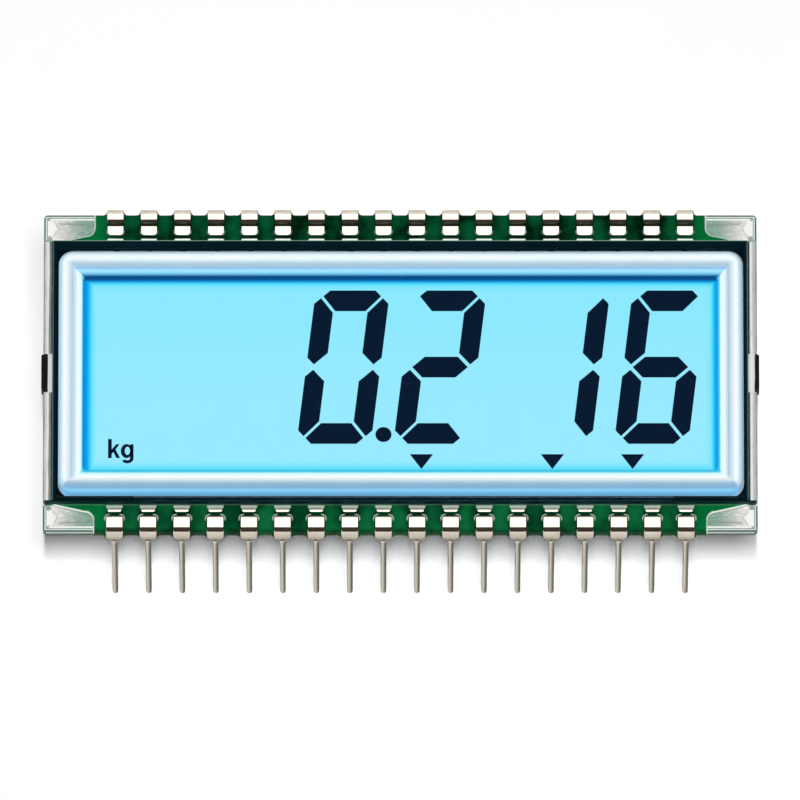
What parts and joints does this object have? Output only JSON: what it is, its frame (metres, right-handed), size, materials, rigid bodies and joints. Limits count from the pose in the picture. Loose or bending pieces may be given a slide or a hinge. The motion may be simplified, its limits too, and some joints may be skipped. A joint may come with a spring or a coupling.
{
  "type": "scale lcd display",
  "caption": "Backlit segment display: two glass plates with ledges, rows of clip-on leads set in green resin, and a moulded backlight behind, showing a weight.",
  "frame": {"origin": "centre of the object in X and Y, at the level of the lead tips", "axes": "+X along the long side to the right of the digits, +Y up the digits, +Z out of the display face"},
  "size_m": [0.0544, 0.027, 0.0121],
  "materials": {
    "clear_glass": "clear float glass with cut edges",
    "edge_seal": "milky epoxy",
    "black_plug": "cured black resin",
    "cell_fluid": "clear",
    "clear_electrode": "clear",
    "dark_segment": "dark navy",
    "front_film": "clear film with a grey tint",
    "rear_film": "dark navy film",
    "green_resin": "glossy green resin",
    "white_border": "white moulding",
    "lit_sheet": "lit cyan diffuser",
    "clear_guide": "clear acrylic",
    "white_reflector": "white sheet",
    "board_laminate": "green laminate",
    "lamp_body": "white moulding",
    "plated_clip": "tin-plated spring strip"
  },
  "bodies": {
    "root": {"rear_glass": "clear_glass", "front_glass": "clear_glass", "perimeter_seal": "edge_seal", "left_end_plug": "black_plug", "right_end_plug": "black_plug", "liquid_crystal": "cell_fluid", "common_electrode": "clear_electrode", "digit_segments": "dark_segment", "symbol_segments": "dark_segment", "front_polarizer": "front_film", "rear_polarizer": "rear_film", "upper_resin_bead": "green_resin", "lower_resin_bead": "green_resin", "backlight_frame": "white_border", "diffuser_sheet": "lit_sheet", "light_guide": "clear_guide", "reflector_sheet": "white_reflector", "lamp_board": "board_laminate", "lamp_01": "lamp_body", "lamp_02": "lamp_body", "lamp_03": "lamp_body", "upper_pin_01": "plated_clip", "upper_pin_02": "plated_clip", "upper_pin_03": "plated_clip", "upper_pin_04": "plated_clip", "upper_pin_05": "plated_clip", "upper_pin_06": "plated_clip", "upper_pin_07": "plated_clip", "upper_pin_08": "plated_clip", "upper_pin_09": "plated_clip", "upper_pin_10": "plated_clip", "upper_pin_11": "plated_clip", "upper_pin_12": "plated_clip", "upper_pin_13": "plated_clip", "upper_pin_14": "plated_clip", "upper_pin_15": "plated_clip", "upper_pin_16": "plated_clip", "upper_pin_17": "plated_clip", "upper_pin_18": "plated_clip", "lower_pin_01": "plated_clip", "lower_pin_02": "plated_clip", "lower_pin_03": "plated_clip", "lower_pin_04": "plated_clip", "lower_pin_05": "plated_clip", "lower_pin_06": "plated_clip", "lower_pin_07": "plated_clip", "lower_pin_08": "plated_clip", "lower_pin_09": "plated_clip", "lower_pin_10": "plated_clip", "lower_pin_11": "plated_clip", "lower_pin_12": "plated_clip", "lower_pin_13": "plated_clip", "lower_pin_14": "plated_clip", "lower_pin_15": "plated_clip", "lower_pin_16": "plated_clip", "lower_pin_17": "plated_clip", "lower_pin_18": "plated_clip", "upper_terminal": "plated_clip", "lower_terminal": "plated_clip"}
  },
  "joints": []
}
